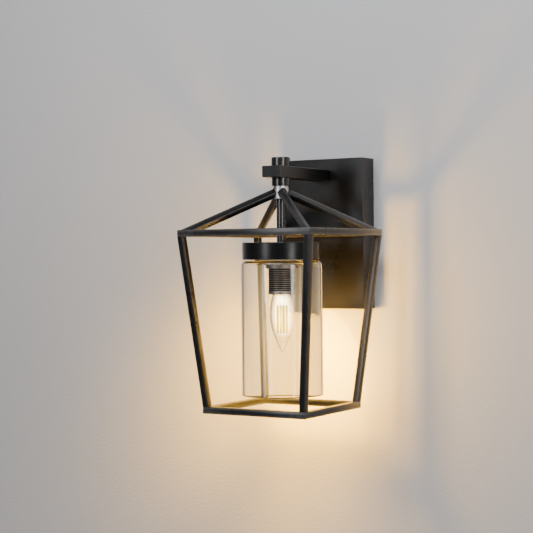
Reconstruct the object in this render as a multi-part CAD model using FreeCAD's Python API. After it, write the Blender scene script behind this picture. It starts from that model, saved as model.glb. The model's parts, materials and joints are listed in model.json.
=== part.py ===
import FreeCAD, Part
import math
import os

# Outdoor wall lantern: a flat box backplate, a bar arm, an open tapered cage with a
# hipped roof, and a clear glass cylinder round one candle bulb.
# Origin: centre of the backplate's back, on the wall. +Z is up, the lantern hangs towards -Y.
# Lengths are in millimetres.

V = FreeCAD.Vector
UP = V(0, 0, 1)

# backplate and what fixes it to the wall
plate_width = 136.0
plate_height = 220.0
plate_depth = 35.0
plate_wall = 1.2
plate_edge = 0.9            # radius of the backplate's outer edges
seal_width = 4.0            # foam strip round the backplate's rim
seal_thickness = 3.0
strap_width = 25.0          # mounting bracket
strap_thickness = 1.6
strap_bend = 1.4            # outside radius where the bracket's tabs turn
tab_margin = 7.0            # bracket tab beyond its screw
box_screw_spacing = 79.4    # middle of the range of North American outlet boxes
slot_length = 15.0
slot_width = 5.0
ground_margin = 14.0        # slot's end to the ground screw
boss_radius = 6.0           # thickened wall round each canopy screw
boss_height = 1.6

# cage
cage_top_width = 210.0
cage_bottom_width = 162.4
cage_height = 254.0
bar_size = 9.5
cage_clearance = 13.0       # from the cage's back to the backplate's front
roof_rise = 61.0            # from the cage's top to the top of the hub
rafter_shoulder = 3.6       # from the top of the hub to each rafter's ridge
rafter_inset = 4.5          # from the cage's corner to the foot of each rafter's ridge
hub_margin = 1.35           # hub radius beyond a bar's width

# arm
arm_width = 28.6
arm_height = 16.0
arm_wall = 1.6
arm_edge = 0.8
arm_nose = 27.6             # arm's tip in front of the lantern's axis
arm_drop = 24.6             # backplate's top edge to the arm's centreline
end_cap_thickness = 2.0
plug_length = 4.0           # how far the end cap stands inside the arm
root_block_length = 14.0
arm_screw_grip = 10.0       # thread inside the root block
arm_screw_margin = 2.0      # arm screw to the inside of the arm's wall
bushing_wall = 0.9
bushing_lip = 1.2
clamp_thickness = 2.5
clamp_margin = 6.0          # clamp plate beyond the arm on each side

# finial, collar, stem and the threaded tubes
finial_diameter = 26.4
finial_height = 12.6
collar_diameter = 25.8
collar_height = 11.4
button_edge = 0.7           # eased rims of the finial and the collar
stem_diameter = 13.0
stem_socket = 9.0           # how far the stem stands inside the hub
nipple_diameter = 10.0
nipple_bore = 7.0
nipple_grip = 7.0           # thread held by each piece the tube screws into
nipple_proud = 2.0          # thread beyond the nut in the shade cap
window_below = 4.2          # slot for the wires, from the arm's centreline
window_above = 3.0
nut_across_flats = 14.0
nut_thickness = 3.2

# shade holder and glass
cap_drop = 18.0             # cage's top to the holder's top
cap_diameter = 110.4
cap_height = 24.0
cap_wall = 1.2
cap_edge = 1.6
glass_diameter = 114.0
glass_height = 188.0
glass_wall = 3.0
glass_shoulder = 7.0        # outside radius where the glass turns in at the top
gasket_thickness = 1.5
gasket_width = 9.0
gasket_gap = 1.2            # round the bulb holder
glass_gap = 1.5             # round the bulb holder

# bulb holder
socket_diameter = 38.0
socket_length = 49.2        # below its flange
socket_floor = 22.5         # closed length above the bulb's cavity
flange_width = 4.0
flange_thickness = 2.5
thread_pitch = 2.6
thread_depth = 0.7
rib_free_length = 4.0       # smooth end of the bulb holder
rim_chamfer = 0.8
ring_flange = 7.0           # shade ring beyond the bulb holder
ring_flange_thickness = 3.0
ring_step = 3.0             # from the ring's flange in to its skirt
ring_height = 8.0
notch_count = 16
notch_radius = 1.3
terminal_spacing = 14.0
terminal_size = (5.0, 6.0, 5.0)
terminal_foot = 1.4         # radius, and depth into the flange
terminal_screw_radius = 1.6
terminal_screw_height = 1.2
terminal_bore_depth = 3.0
shell_wall = 0.5
shell_inset = 2.0           # the screw shell's rim above the holder's
shell_top_gap = 1.0
leaf_length = 18.0
leaf_width = 6.0
leaf_thickness = 0.6
rivet_radius = 1.0
rivet_inset = 1.5

# bulb, an E26 candle lamp
base_diameter = 26.2
base_length = 19.0
base_pitch = 3.63
base_groove = 0.8
base_wall = 0.5
base_lip = 2.5              # smooth band at the open end
insulator_height = 3.5
insulator_top_radius = 5.0
insulator_sink = 1.6        # inside the base
contact_height = 1.6
contact_radius = 4.6
contact_rim = 0.5
bulb_diameter = 35.0
bulb_glass_wall = 0.8
bulb_length = 105.5
neck_length = 3.0           # glass inside the base
neck_swell = 9.0            # base to where the neck is half swollen out
belly_drop = 29.0           # base to the widest part of the glass
candle_taper = ((0.38, 0.84), (0.72, 0.46))   # shares of the way to the tip and of the widest radius
tip_radius = 1.8
tip_height = 1.4
filament_drop = 17.0        # base to the top of the filaments
filament_count = 4
filament_length = 38.0
filament_radius = 0.75
filament_circle = 6.4
filament_turn = 48.0        # degrees, where the first filament stands
lead_radius = 0.22
lead_start = 0.28           # share of each spoke's way that is inside the mount
mount_radius = 2.9          # glass mount that carries the filaments
mount_tip_radius = 2.0
mount_clear = 3.0           # mount's tip above the filaments
flare_height = 2.5
flare_rim = 0.8
flare_gap = 0.6
board_radius = 8.6
board_thickness = 1.2
board_drop = 5.0            # below the top of the base
capacitor_radius = 2.5
capacitor_length = 7.0
capacitor_offset = 3.6
chip_size = (4.2, 4.4, 1.6)
chip_offset = 4.1

# fasteners and lead wires
screw_radius = 2.0
head_radius = 3.7
head_height = 2.1
head_round = 1.26
recess_reach = 2.0          # half the length of the cross recess
recess_width = 0.9
recess_depth = 1.0
canopy_screw_length = 11.0
screw_run_out = 0.4
wire_diameter = 2.2
wire_offset = 1.4           # each wire beside the lantern's axis
wire_bend = 7.0             # bend where the wires turn into the arm
wire_room = 0.4             # round each wire where it goes through metal
wire_spread_drop = 1.0      # below the stem's tube, where the two wires part
nut_cone_height = 18.0
nut_cone_radius = 4.2
nut_cone_tip_radius = 2.6
nut_cone_spacing = 9.0
nut_cone_drop = 27.8        # ground screw to the mouths of the wire nuts
nut_bore_depth = 5.0
splice_run = 12.0           # straight wire above each wire nut
splice_spread = 27.0        # height over which the wires spread to their nuts
ground_run = 9.0
ground_spread = 17.0

# fits
thread_gap = 0.05           # screwed joints, radial
slide_gap = 0.3             # pieces that pass each other
hole_gap = 0.2              # clearance holes, radial
touch_gap = 0.1             # flat faces on pieces that move apart

# places
reach = plate_depth + cage_clearance + cage_top_width / 2
axis_y = -reach
arm_level = plate_height / 2 - arm_drop
arm_top = arm_level + arm_height / 2
arm_bottom = arm_level - arm_height / 2
hub_top = arm_bottom - collar_height
cage_top = hub_top - roof_rise
cage_bottom = cage_top - cage_height
corner_radius = cage_top_width / math.sqrt(2)
hub_radius = bar_size + hub_margin
bar_diagonal = bar_size * math.sqrt(2)
rafter_angle = math.atan2(roof_rise - rafter_shoulder, corner_radius - rafter_inset - hub_radius)
hub_bottom = hub_top - rafter_shoulder - bar_diagonal / math.cos(rafter_angle) - touch_gap
stem_top = hub_bottom + stem_socket
cap_top = cage_top - cap_drop
cap_bottom = cap_top - cap_height
cap_plate_top = cap_bottom + cap_wall
glass_top = cap_bottom - gasket_thickness
glass_bottom = glass_top - glass_height
socket_radius = socket_diameter / 2
socket_bottom = cap_plate_top - socket_length
cavity_top = cap_plate_top - socket_floor
nipple_radius = nipple_diameter / 2
base_radius = base_diameter / 2
shell_radius = base_radius + slide_gap + thread_gap     # inside of the holder's screw shell
neck_radius = base_radius - base_groove - base_wall - thread_gap
bulb_top = cavity_top - leaf_thickness - touch_gap
base_top = bulb_top - contact_height - insulator_height
base_bottom = base_top - base_length
bulb_tip = bulb_top - bulb_length
filament_top = base_bottom - filament_drop
strap_half = plate_height / 2 - plate_wall - seal_width - hole_gap * 2
stem_tip = filament_top + mount_clear
wire_radius = wire_diameter / 2
bushing_radius = wire_offset + wire_radius + wire_room + bushing_wall
arm_front = axis_y - arm_nose
canopy_y = -plate_depth / 2
ground_level = box_screw_spacing / 2 + slot_length / 2 + ground_margin
nut_cone_top = ground_level - nut_cone_drop
nipple_end = cap_top - cap_wall - nut_thickness - nipple_proud


def box(low, high):
    size = [high[i] - low[i] for i in range(3)]
    return Part.makeBox(size[0], size[1], size[2], V(*low))


def rod(x, y, low, high, radius):
    return Part.makeCylinder(radius, high - low, V(x, y, low))


def rod_between(start, end, radius):
    along = end - start
    return Part.makeCylinder(radius, along.Length, start, along)


def on_axis(shape):
    # moves a shape made round the Z axis to the lantern's axis
    shape.translate(V(0, axis_y, 0))
    return shape


def ring(low, high, outer, inner):
    return on_axis(rod(0, 0, low, high, outer).cut(rod(0, 0, low, high, inner)))


def turned(edges):
    # revolves a closed outline in the XZ plane round the lantern's axis
    face = Part.Face(Part.Wire(edges))
    return on_axis(face.revolve(V(0, 0, 0), UP, 360))


def line(a, b):
    return Part.makeLine(V(a[0], 0, a[1]), V(b[0], 0, b[1]))


def arc(a, middle, b):
    return Part.Arc(V(a[0], 0, a[1]), V(middle[0], 0, middle[1]), V(b[0], 0, b[1])).toShape()


def quarter(centre, radius, start_angle):
    # a quarter circle, turning clockwise from start_angle, as (start, middle, end)
    points = []
    for step in (0, 45, 90):
        turn = math.radians(start_angle - step)
        points.append((centre[0] + radius * math.cos(turn), centre[1] + radius * math.sin(turn)))
    return points


def outline(points):
    return [line(a, b) for a, b in zip(points, points[1:] + points[:1])]


def rod_along_y(x, z, start, length, radius):
    return Part.makeCylinder(radius, length, V(x, start, z), V(0, 1, 0))


def hexagon_nut(bottom, thickness):
    radius = nut_across_flats / math.sqrt(3)
    turns = [math.radians(60 * i + 30) for i in range(7)]
    corners = [V(radius * math.cos(turn), radius * math.sin(turn), bottom) for turn in turns]
    body = Part.Face(Part.makePolygon(corners)).extrude(V(0, 0, thickness))
    return on_axis(body.cut(rod(0, 0, bottom, bottom + thickness, nipple_radius + thread_gap)))


def cross_recess(top):
    half = recess_width / 2
    first = box((-recess_reach, -half, top - recess_depth), (recess_reach, half, top))
    return first.fuse(box((-half, -recess_reach, top - recess_depth), (half, recess_reach, top)))


def top_rim(shape):
    highest = shape.BoundBox.ZMax
    return [edge for edge in shape.Edges if edge.BoundBox.ZMin > highest - 0.01 and edge.Closed][:1]


def pan_screw(length):
    # stands on Z: under-head face at z = 0, shank downwards
    dome = Part.makeCylinder(head_radius, head_height)
    head = dome.makeFillet(head_round, top_rim(dome))
    shank = Part.makeCylinder(screw_radius - thread_gap, length, V(0, 0, -length))
    return head.fuse(shank).cut(cross_recess(head_height)).removeSplitter()


def flat_screw(length):
    # countersunk: head's top face at z = 0, shank downwards
    sink = head_radius - screw_radius
    cone = Part.makeCone(screw_radius - thread_gap, head_radius, sink, V(0, 0, -sink))
    shank = Part.makeCylinder(screw_radius - thread_gap, length - sink, V(0, 0, -length))
    return cone.fuse(shank).cut(cross_recess(0)).removeSplitter()


def turned_to(shape, axis, degrees, place):
    shape.rotate(V(0, 0, 0), axis, degrees)
    shape.translate(place)
    return shape


def smooth_tube(points, bend, radius):
    # a lead wire: straight runs joined by tangent arcs
    edges = []
    start = points[0]
    for before, corner, after in zip(points, points[1:], points[2:]):
        back = (before - corner).normalize()
        ahead = (after - corner).normalize()
        half_turn = (math.pi - back.getAngle(ahead)) / 2
        shortest = min((before - corner).Length, (after - corner).Length)
        size = min(bend, 0.45 * shortest / math.tan(half_turn))
        inset = size * math.tan(half_turn)
        bisector = (back + ahead).normalize()
        centre = corner + bisector * (size / math.cos(half_turn))
        enter = corner + back * inset
        leave = corner + ahead * inset
        edges.append(Part.LineSegment(start, enter).toShape())
        edges.append(Part.Arc(enter, centre - bisector * size, leave).toShape())
        print("bend radius", round(size, 2))
        start = leave
    edges.append(Part.LineSegment(start, points[-1]).toShape())
    path = Part.Wire(edges)
    circle = Part.Wire(Part.makeCircle(radius, points[0], points[1] - points[0]))
    tube = path.makePipeShell([circle], True, True)
    expected = math.pi * radius ** 2 * path.Length
    print("wire volume over section times length", round(tube.Volume / expected, 4))
    return tube


def backplate_shell():
    half_width = plate_width / 2
    half_height = plate_height / 2
    outer = box((-half_width, -plate_depth, -half_height), (half_width, 0, half_height))
    at_wall = [edge for edge in outer.Edges if edge.BoundBox.YMin > -0.01]
    eased = [edge for edge in outer.Edges if not any(edge.isSame(other) for other in at_wall)]
    outer = outer.makeFillet(plate_edge, eased)
    inner = box((-half_width + plate_wall, -plate_depth + plate_wall, -half_height + plate_wall),
                (half_width - plate_wall, 1, half_height - plate_wall))
    shell = outer.cut(inner)
    for side in (1, -1):
        face = V(0, canopy_y, side * half_height)
        outwards = V(0, 0, side)
        boss_start = face - outwards * (plate_wall + boss_height)
        shell = shell.fuse(Part.makeCylinder(boss_radius, boss_height, boss_start, outwards))
        sink = head_radius - screw_radius
        small = screw_radius + hole_gap
        wide = head_radius + hole_gap
        shell = shell.cut(Part.makeCone(small, wide, sink, face - outwards * sink, outwards))
        through = plate_wall + boss_height + 1
        shell = shell.cut(Part.makeCylinder(small, through, face - outwards * through, outwards))
    for x in arm_screw_places():
        shell = shell.cut(across_wall(x, screw_radius + hole_gap))
    shell = shell.cut(across_wall(0, bushing_radius + hole_gap))
    return shell.removeSplitter()


def arm_screw_places():
    offset = arm_width / 2 - arm_wall - screw_radius - arm_screw_margin
    return (-offset, offset)


def across_wall(x, radius):
    # a hole along Y through the backplate's front and the clamp plate
    return rod_along_y(x, arm_level, -plate_depth - 1, plate_wall + clamp_thickness + 2, radius)


def wall_seal():
    half_width = plate_width / 2 - plate_wall - touch_gap
    half_height = plate_height / 2 - plate_wall - touch_gap
    outer = box((-half_width, -seal_thickness, -half_height), (half_width, 0, half_height))
    inner = box((-half_width + seal_width, -seal_thickness, -half_height + seal_width),
                (half_width - seal_width, 0, half_height - seal_width))
    return outer.cut(inner)


def mounting_bracket():
    half = strap_width / 2
    tab_reach = plate_depth / 2 + tab_margin
    strap = box((-half, -strap_thickness, -strap_half), (half, 0, strap_half))
    for side in (1, -1):
        ends = sorted((side * strap_half, side * (strap_half - strap_thickness)))
        strap = strap.fuse(box((-half, -tab_reach, ends[0]), (half, 0, ends[1])))
        strap = strap.cut(rod(0, canopy_y, ends[0] - 1, ends[1] + 1, screw_radius))
        strap = strap.cut(box_screw_slot(side * box_screw_spacing / 2))
    strap = strap.cut(through_strap(ground_level, screw_radius)).removeSplitter()
    bends = [edge for edge in strap.Edges
             if edge.BoundBox.XLength > strap_width - 0.1 and abs(edge.BoundBox.YMax) < 0.01
             and abs(abs(edge.BoundBox.ZMax) - strap_half) < 0.01]
    return strap.makeFillet(strap_bend, bends)


def through_strap(z, radius):
    return rod_along_y(0, z, -strap_thickness - 1, strap_thickness + 2, radius)


def box_screw_slot(middle):
    half = slot_width / 2
    run = slot_length / 2 - half
    slot = box((-half, -strap_thickness - 1, middle - run), (half, 1, middle + run))
    return slot.fuse(through_strap(middle - run, half)).fuse(through_strap(middle + run, half))


def canopy_screws():
    screws = []
    for side, degrees in ((1, 0), (-1, 180)):
        place = V(0, canopy_y, side * plate_height / 2)
        screws.append(turned_to(flat_screw(canopy_screw_length), V(1, 0, 0), degrees, place))
    return Part.makeCompound(screws)


def ground_screw():
    under_head = -strap_thickness - wire_diameter - touch_gap
    screw = pan_screw(strap_thickness + screw_run_out)
    return turned_to(screw, V(1, 0, 0), 90, V(0, under_head, ground_level))


def arm_screws():
    inside = -plate_depth + plate_wall + clamp_thickness
    length = plate_wall + clamp_thickness + arm_screw_grip
    return Part.makeCompound([turned_to(pan_screw(length), V(1, 0, 0), -90, V(x, inside, arm_level))
                              for x in arm_screw_places()])


def bar_section(inset, start, end):
    # the arm's rectangle less an inset all round, from y = start to y = end
    half_width = arm_width / 2 - inset
    half_height = arm_height / 2 - inset
    return box((-half_width, start, arm_level - half_height), (half_width, end, arm_level + half_height))


def rounded_bar(start, end, also_front):
    bar = bar_section(0, start, end)
    edges = [edge for edge in bar.Edges if edge.BoundBox.YLength > 1]
    if also_front:
        edges += [edge for edge in bar.Edges if edge.BoundBox.YMax < start + 0.1]
    return bar.makeFillet(arm_edge, edges)


def arm_tube():
    start = arm_front + end_cap_thickness
    tube = rounded_bar(start, -plate_depth, False)
    tube = tube.cut(bar_section(arm_wall, start - 1, -plate_depth + 1))
    return tube.cut(rod(0, axis_y, arm_bottom - 1, arm_top + 1, nipple_radius + hole_gap))


def arm_end_cap():
    inside = arm_front + end_cap_thickness
    plug = bar_section(arm_wall + touch_gap, inside, inside + plug_length)
    return rounded_bar(arm_front, inside, True).fuse(plug).removeSplitter()


def arm_root_block():
    start = -plate_depth - root_block_length
    block = bar_section(arm_wall + touch_gap, start, -plate_depth)
    for x in arm_screw_places():
        block = block.cut(rod_along_y(x, arm_level, start, root_block_length, screw_radius))
    return block.cut(rod_along_y(0, arm_level, start, root_block_length, bushing_radius))


def arm_clamp_plate():
    front = -plate_depth + plate_wall
    plate = bar_section(-clamp_margin, front, front + clamp_thickness)
    for x in arm_screw_places():
        plate = plate.cut(across_wall(x, screw_radius + hole_gap))
    return plate.cut(across_wall(0, bushing_radius + hole_gap))


def wire_bushing():
    through = plate_wall + clamp_thickness
    sleeve = rod_along_y(0, arm_level, -plate_depth, through, bushing_radius)
    lip = rod_along_y(0, arm_level, -plate_depth + through, bushing_lip, bushing_radius + bushing_lip)
    bore_length = through + bushing_lip + 2
    bore = rod_along_y(0, arm_level, -plate_depth - 1, bore_length, bushing_radius - bushing_wall)
    return sleeve.fuse(lip).cut(bore).removeSplitter()


def turned_button(low, high, radius, bore_top):
    # a round boss with eased rims and a tapped bore up to bore_top
    bore = nipple_radius + thread_gap
    edge = button_edge
    points = [(radius - edge, high), (radius, high - edge), (radius, low + edge), (radius - edge, low),
              (bore, low)]
    if bore_top < high:
        points += [(bore, bore_top), (0, bore_top), (0, high)]
    else:
        points += [(bore, high)]
    return turned(outline(points))


def finial():
    return turned_button(arm_top, arm_top + finial_height, finial_diameter / 2, arm_top + nipple_grip + 1)


def collar():
    return turned_button(hub_top, arm_bottom, collar_diameter / 2, arm_bottom)


def hollow_nipple():
    tube = ring(stem_top - nipple_grip, arm_top + nipple_grip, nipple_radius, nipple_bore / 2)
    half = wire_offset + wire_radius + wire_room
    window = box((-half, axis_y, arm_level - window_below),
                 (half, axis_y + nipple_radius + 1, arm_level + window_above))
    return tube.cut(window)


def arm_lock_nut():
    return hexagon_nut(arm_bottom + arm_wall, nut_thickness)


def hub():
    body = rod(0, 0, hub_bottom, hub_top, hub_radius)
    body = body.cut(rod(0, 0, hub_bottom, hub_top, nipple_radius + thread_gap))
    return on_axis(body.cut(rod(0, 0, hub_bottom, stem_top, stem_diameter / 2 + thread_gap)))


def rafter(degrees):
    # a square bar set on edge: one edge is the ridge, its foot is cut level with the cage's top
    along = V(math.cos(rafter_angle), 0, -math.sin(rafter_angle))
    across = V(0, 1, 0)
    above = V(math.sin(rafter_angle), 0, math.cos(rafter_angle))
    half = bar_diagonal / 2
    shoulder = V(hub_radius, 0, hub_top - rafter_shoulder)
    start = shoulder - along * (hub_radius / math.cos(rafter_angle))
    corners = [start, start - above * half + across * half, start - above * bar_diagonal,
               start - above * half - across * half, start]
    length = corner_radius / math.cos(rafter_angle) + bar_size
    bar = Part.Face(Part.makePolygon(corners)).extrude(along * length)
    bar = bar.cut(rod(0, 0, hub_bottom - bar_size, hub_top + bar_size, hub_radius))
    below = box((0, -bar_size * 2, cage_top - roof_rise), (corner_radius * 2, bar_size * 2, cage_top))
    bar = bar.cut(below)
    bar.rotate(V(0, 0, 0), UP, degrees)
    return on_axis(bar)


def rail(half_width, low, degrees):
    # one side of a square ring, mitred at both ends; at 0 degrees it is the front one
    inner = half_width - bar_size
    corners = [V(-half_width, -half_width, low), V(half_width, -half_width, low), V(inner, -inner, low),
               V(-inner, -inner, low), V(-half_width, -half_width, low)]
    bar = Part.Face(Part.makePolygon(corners)).extrude(V(0, 0, bar_size))
    bar.rotate(V(0, 0, 0), UP, degrees)
    return on_axis(bar)


def corner_square(half_width, side_x, side_y, z):
    inner = half_width - bar_size
    points = [(half_width, half_width), (inner, half_width), (inner, inner), (half_width, inner)]
    points.append(points[0])
    return Part.makePolygon([V(side_x * x, side_y * y, z) for x, y in points])


def post(side_x, side_y):
    high = corner_square(cage_top_width / 2, side_x, side_y, cage_top - bar_size)
    low = corner_square(cage_bottom_width / 2, side_x, side_y, cage_bottom + bar_size)
    return on_axis(Part.makeLoft([low, high], True, True))


def stem_tube():
    return ring(cap_top, stem_top, stem_diameter / 2, nipple_radius + thread_gap)


def stem_nipple():
    return ring(nipple_end, cap_top + nipple_grip, nipple_radius, nipple_bore / 2)


def cap_nut():
    return hexagon_nut(cap_top - cap_wall - nut_thickness, nut_thickness)


def shade_cap():
    outer = rod(0, 0, cap_bottom, cap_top, cap_diameter / 2)
    outer = outer.makeFillet(cap_edge, top_rim(outer))
    cup = outer.cut(rod(0, 0, cap_bottom - 1, cap_top - cap_wall, cap_diameter / 2 - cap_wall))
    return on_axis(cup.cut(rod(0, 0, cap_top - cap_wall - 1, cap_top + 1, nipple_radius + hole_gap)))


def cap_plate():
    return ring(cap_bottom, cap_plate_top, cap_diameter / 2 - cap_wall - touch_gap, socket_radius + hole_gap)


def shade_gasket():
    inner = socket_radius + gasket_gap
    return ring(glass_top, cap_bottom - touch_gap, inner + gasket_width, inner)


def glass_shade():
    outer = glass_diameter / 2
    inner = outer - glass_wall
    hole = socket_radius + glass_gap
    centre = (outer - glass_shoulder, glass_top - glass_shoulder)
    turn_out = quarter(centre, glass_shoulder, 90)
    turn_in = quarter(centre, glass_shoulder - glass_wall, 90)
    rim_z = glass_bottom + glass_wall / 2
    edges = [line((hole, glass_top), turn_out[0]),
             arc(*turn_out),
             line(turn_out[2], (outer, rim_z)),
             arc((outer, rim_z), (outer - glass_wall / 2, glass_bottom), (inner, rim_z)),
             line((inner, rim_z), turn_in[2]),
             arc(*reversed(turn_in)),
             line(turn_in[0], (hole, glass_top - glass_wall)),
             line((hole, glass_top - glass_wall), (hole, glass_top))]
    return turned(edges)


def shade_ring():
    top = glass_top - glass_wall
    bore = socket_radius + slide_gap
    outer = socket_radius + ring_flange
    skirt = outer - ring_step
    under = top - ring_flange_thickness
    low = top - ring_height
    points = [(bore, top), (outer, top), (outer, under), (skirt, under),
              (skirt, low + rim_chamfer), (skirt - rim_chamfer, low), (bore, low)]
    body = turned(outline(points))
    for i in range(notch_count):
        turn = 2 * math.pi * i / notch_count
        place = (outer * math.cos(turn), axis_y + outer * math.sin(turn))
        body = body.cut(rod(place[0], place[1], under - 1, top + 1, notch_radius))
    return body


def socket_body():
    # closed top with a flange, ribbed skirt, cavity for the screw shell
    radius = socket_radius
    root = radius - thread_depth
    head = cap_plate_top + flange_thickness
    cavity = shell_radius + shell_wall + thread_gap
    low = socket_bottom
    points = [(0, head), (radius + flange_width, head), (radius + flange_width, cap_plate_top),
              (radius, cap_plate_top)]
    first = glass_top - glass_wall
    for i in range(int((first - low - rib_free_length) / thread_pitch)):
        z = first - i * thread_pitch
        points += [(radius, z), (root, z - thread_pitch * 0.3), (root, z - thread_pitch * 0.5),
                   (radius, z - thread_pitch * 0.8)]
    points += [(radius, low + rim_chamfer), (radius - rim_chamfer, low), (cavity + rim_chamfer, low),
               (cavity, low + rim_chamfer), (cavity, cavity_top), (0, cavity_top)]
    body = turned(outline(points))
    hole = terminal_foot + touch_gap
    for x in terminal_places():
        body = body.cut(rod(x, axis_y, head - hole, head + 1, hole))
    return body


def terminal_places():
    return (-terminal_spacing / 2, terminal_spacing / 2)


def socket_screw_shell():
    low = socket_bottom + shell_inset
    high = cavity_top - shell_top_gap
    return ring(low, high, shell_radius + shell_wall, shell_radius)


def socket_contact():
    low = cavity_top - leaf_thickness
    leaf = box((-leaf_length / 2, -leaf_width / 2, low), (leaf_length / 2, leaf_width / 2, cavity_top))
    rivet_hole = rod(leaf_length / 2 - rivet_inset, axis_y, low - 1, cavity_top + 1, rivet_radius)
    return on_axis(leaf).cut(rivet_hole)


def socket_terminals():
    head = cap_plate_top + flange_thickness
    width, depth, height = terminal_size
    front = axis_y - depth / 2
    posts = []
    for x in terminal_places():
        foot = rod(x, axis_y, head - terminal_foot, head, terminal_foot)
        block = box((x - width / 2, front, head), (x + width / 2, front + depth, head + height))
        screw = rod_along_y(x, head + height / 2, front - terminal_screw_height, terminal_screw_height,
                            terminal_screw_radius)
        top = head + height
        bore = rod(x, axis_y, top - terminal_bore_depth, top, wire_radius + thread_gap)
        posts.append(block.fuse(foot).fuse(screw).cut(bore).removeSplitter())
    return Part.makeCompound(posts)


def bulb_base():
    # a thin sleeve with rolled threads
    crest = base_radius
    root = base_radius - base_groove
    inside = root - base_wall
    turns = int((base_length - base_lip) / base_pitch)
    edges = [line((inside, base_top), (root, base_top))]
    z = base_top
    for i in range(turns):
        edges.append(arc((root, z), (crest, z - base_pitch / 2), (root, z - base_pitch)))
        z = base_top - (i + 1) * base_pitch
    edges += [line((root, z), (crest, z - contact_rim)),
              line((crest, z - contact_rim), (crest, base_bottom)),
              line((crest, base_bottom), (inside, base_bottom)),
              line((inside, base_bottom), (inside, base_top))]
    return turned(edges)


def bulb_insulator():
    top = base_top + insulator_height
    points = [(0, top), (insulator_top_radius, top), (neck_radius, base_top + touch_gap),
              (neck_radius, base_top - insulator_sink), (0, base_top - insulator_sink)]
    return turned(outline(points))


def dome(rim, peak):
    # a spherical end: from the rim point to the peak on the axis
    rise = peak - rim[1]
    radius = (rim[0] ** 2 + rise ** 2) / (2 * abs(rise))
    half = math.asin(min(1.0, rim[0] / radius)) / 2
    centre = peak - math.copysign(radius, rise)
    middle = (radius * math.sin(half), centre + math.copysign(radius * math.cos(half), rise))
    return arc(rim, middle, (0, peak))


def bulb_contact():
    low = base_top + insulator_height
    rim = (contact_radius, low + contact_rim)
    peak = low + contact_height
    return turned([line((0, low), (contact_radius, low)), line((contact_radius, low), rim),
                   dome(rim, peak), line((0, peak), (0, low))])


def candle_outline(inset):
    # from the neck inside the base, round the belly, to the drawn tip
    neck = neck_radius - inset
    belly = bulb_diameter / 2 - inset
    start = base_bottom + neck_length
    belly_z = base_bottom - belly_drop
    tip = bulb_tip + inset * 2
    points = [V(neck, 0, base_bottom), V((neck + belly) / 2, 0, base_bottom - neck_swell),
              V(belly, 0, belly_z)]
    for share, width in candle_taper:
        points.append(V(belly * width, 0, belly_z - (belly_z - tip) * share))
    points.append(V(tip_radius, 0, tip + tip_height))
    side = Part.BSplineCurve()
    side.interpolate(points)
    return [line((0, start), (neck, start)), line((neck, start), (neck, base_bottom)), side.toShape(),
            dome((tip_radius, tip + tip_height), tip), line((0, tip), (0, start))]


def bulb_glass():
    outer = turned(candle_outline(0))
    inner = turned(candle_outline(bulb_glass_wall))
    open_end = base_bottom + neck_length
    neck = on_axis(rod(0, 0, open_end - 1, open_end + 1, neck_radius - bulb_glass_wall))
    return outer.cut(inner).cut(neck)


def bulb_stem():
    # the glass mount: a flared skirt that narrows to a rod
    wide = neck_radius - bulb_glass_wall - flare_gap
    top = base_bottom + flare_height
    rim = (wide, top - flare_rim)
    shoulder = (mount_radius, base_bottom - flare_height * 2)
    waist = ((mount_radius + wide) / 2 - mount_tip_radius, base_bottom - flare_gap)
    end = (mount_tip_radius, stem_tip)
    edges = [line((0, top), (wide, top)), line((wide, top), rim), arc(rim, waist, shoulder),
             line(shoulder, end), line(end, (0, stem_tip)), line((0, stem_tip), (0, top))]
    return turned(edges)


def filament_places():
    places = []
    for i in range(filament_count):
        turn = math.radians(filament_turn + 360 / filament_count * i)
        places.append((filament_circle * math.cos(turn), axis_y + filament_circle * math.sin(turn)))
    return places


def bulb_filaments():
    return Part.makeCompound([rod(x, y, filament_top - filament_length, filament_top, filament_radius)
                              for x, y in filament_places()])


def filament_leads():
    # spokes from the mount to the tops, and a link under each pair of filaments
    foot = V(0, axis_y, stem_tip + lead_radius * 2)
    places = filament_places()
    leads = []
    for x, y in places:
        top = V(x, y, filament_top + lead_radius * 2)
        start = foot + (top - foot) * lead_start
        leads.append(rod_between(start, top, lead_radius))
    low = filament_top - filament_length - lead_radius
    for first in range(0, filament_count, 2):
        second = first + 1
        start = V(places[first][0], places[first][1], low)
        end = V(places[second][0], places[second][1], low)
        leads.append(rod_between(start, end, lead_radius))
    return Part.makeCompound(leads)


def bulb_driver():
    # a round board with its capacitor and chip, inside the base
    top = base_top - board_drop
    board = rod(0, 0, top, top + board_thickness, board_radius)
    can = rod(-capacitor_offset, 0, top - capacitor_length, top, capacitor_radius)
    length, width, height = chip_size
    chip = box((chip_offset - length / 2, -width / 2, top - height),
               (chip_offset + length / 2, width / 2, top))
    return on_axis(board.fuse(can).fuse(chip).removeSplitter())


def lead_wire(side):
    # from a terminal up the stem, along the arm and down to its wire nut
    terminal = side * terminal_spacing / 2
    beside = side * wire_offset
    splice = side * nut_cone_spacing
    start = cap_plate_top + flange_thickness + terminal_size[2] - terminal_bore_depth
    parting = nipple_end - wire_spread_drop
    points = [V(terminal, axis_y, start),
              V(terminal, axis_y, parting - abs(terminal - beside)),
              V(beside, axis_y, parting),
              V(beside, axis_y, arm_level),
              V(beside, canopy_y, arm_level),
              V(beside, canopy_y, nut_cone_top + splice_spread),
              V(splice, canopy_y, nut_cone_top + splice_run),
              V(splice, canopy_y, nut_cone_top - nut_bore_depth)]
    return smooth_tube(points, wire_bend, wire_radius)


def ground_wire():
    head_y = -strap_thickness - wire_radius - touch_gap
    end = ground_level - screw_radius - hole_gap
    points = [V(0, canopy_y, nut_cone_top - nut_bore_depth), V(0, canopy_y, nut_cone_top + ground_run),
              V(0, head_y, nut_cone_top + ground_spread), V(0, head_y, end)]
    return smooth_tube(points, wire_bend, wire_radius)


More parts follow.
